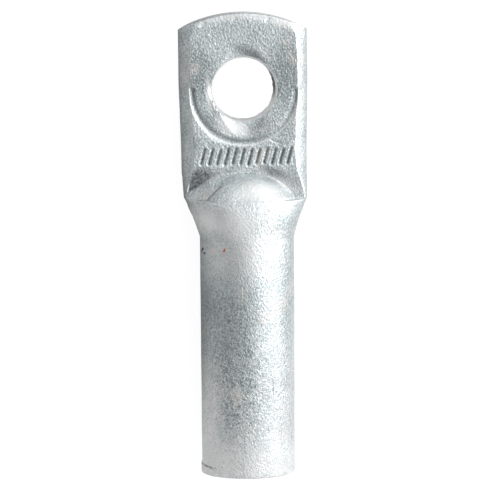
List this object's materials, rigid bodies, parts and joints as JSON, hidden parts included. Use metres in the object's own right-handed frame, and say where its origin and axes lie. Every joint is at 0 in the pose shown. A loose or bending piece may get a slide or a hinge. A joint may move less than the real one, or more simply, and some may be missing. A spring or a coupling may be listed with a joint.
{
  "type": "aluminium cable lug",
  "caption": "Forged aluminium compression lug: a round barrel with a blind cable bore that runs out over a domed shoulder into a flat palm with a stud hole.",
  "frame": {"origin": "on the stud hole's axis, in the plane of the palm's back face", "axes": "+Y along the lug from the cable end to the palm's tip, +Z out of the palm's front face, along the stud hole, X across the palm"},
  "size_m": [0.0216, 0.078, 0.0161],
  "materials": {
    "forged_aluminium": "as forged, tumbled matt grey with a fine grain"
  },
  "bodies": {
    "root": {"cable_lug": "forged_aluminium"}
  },
  "joints": []
}
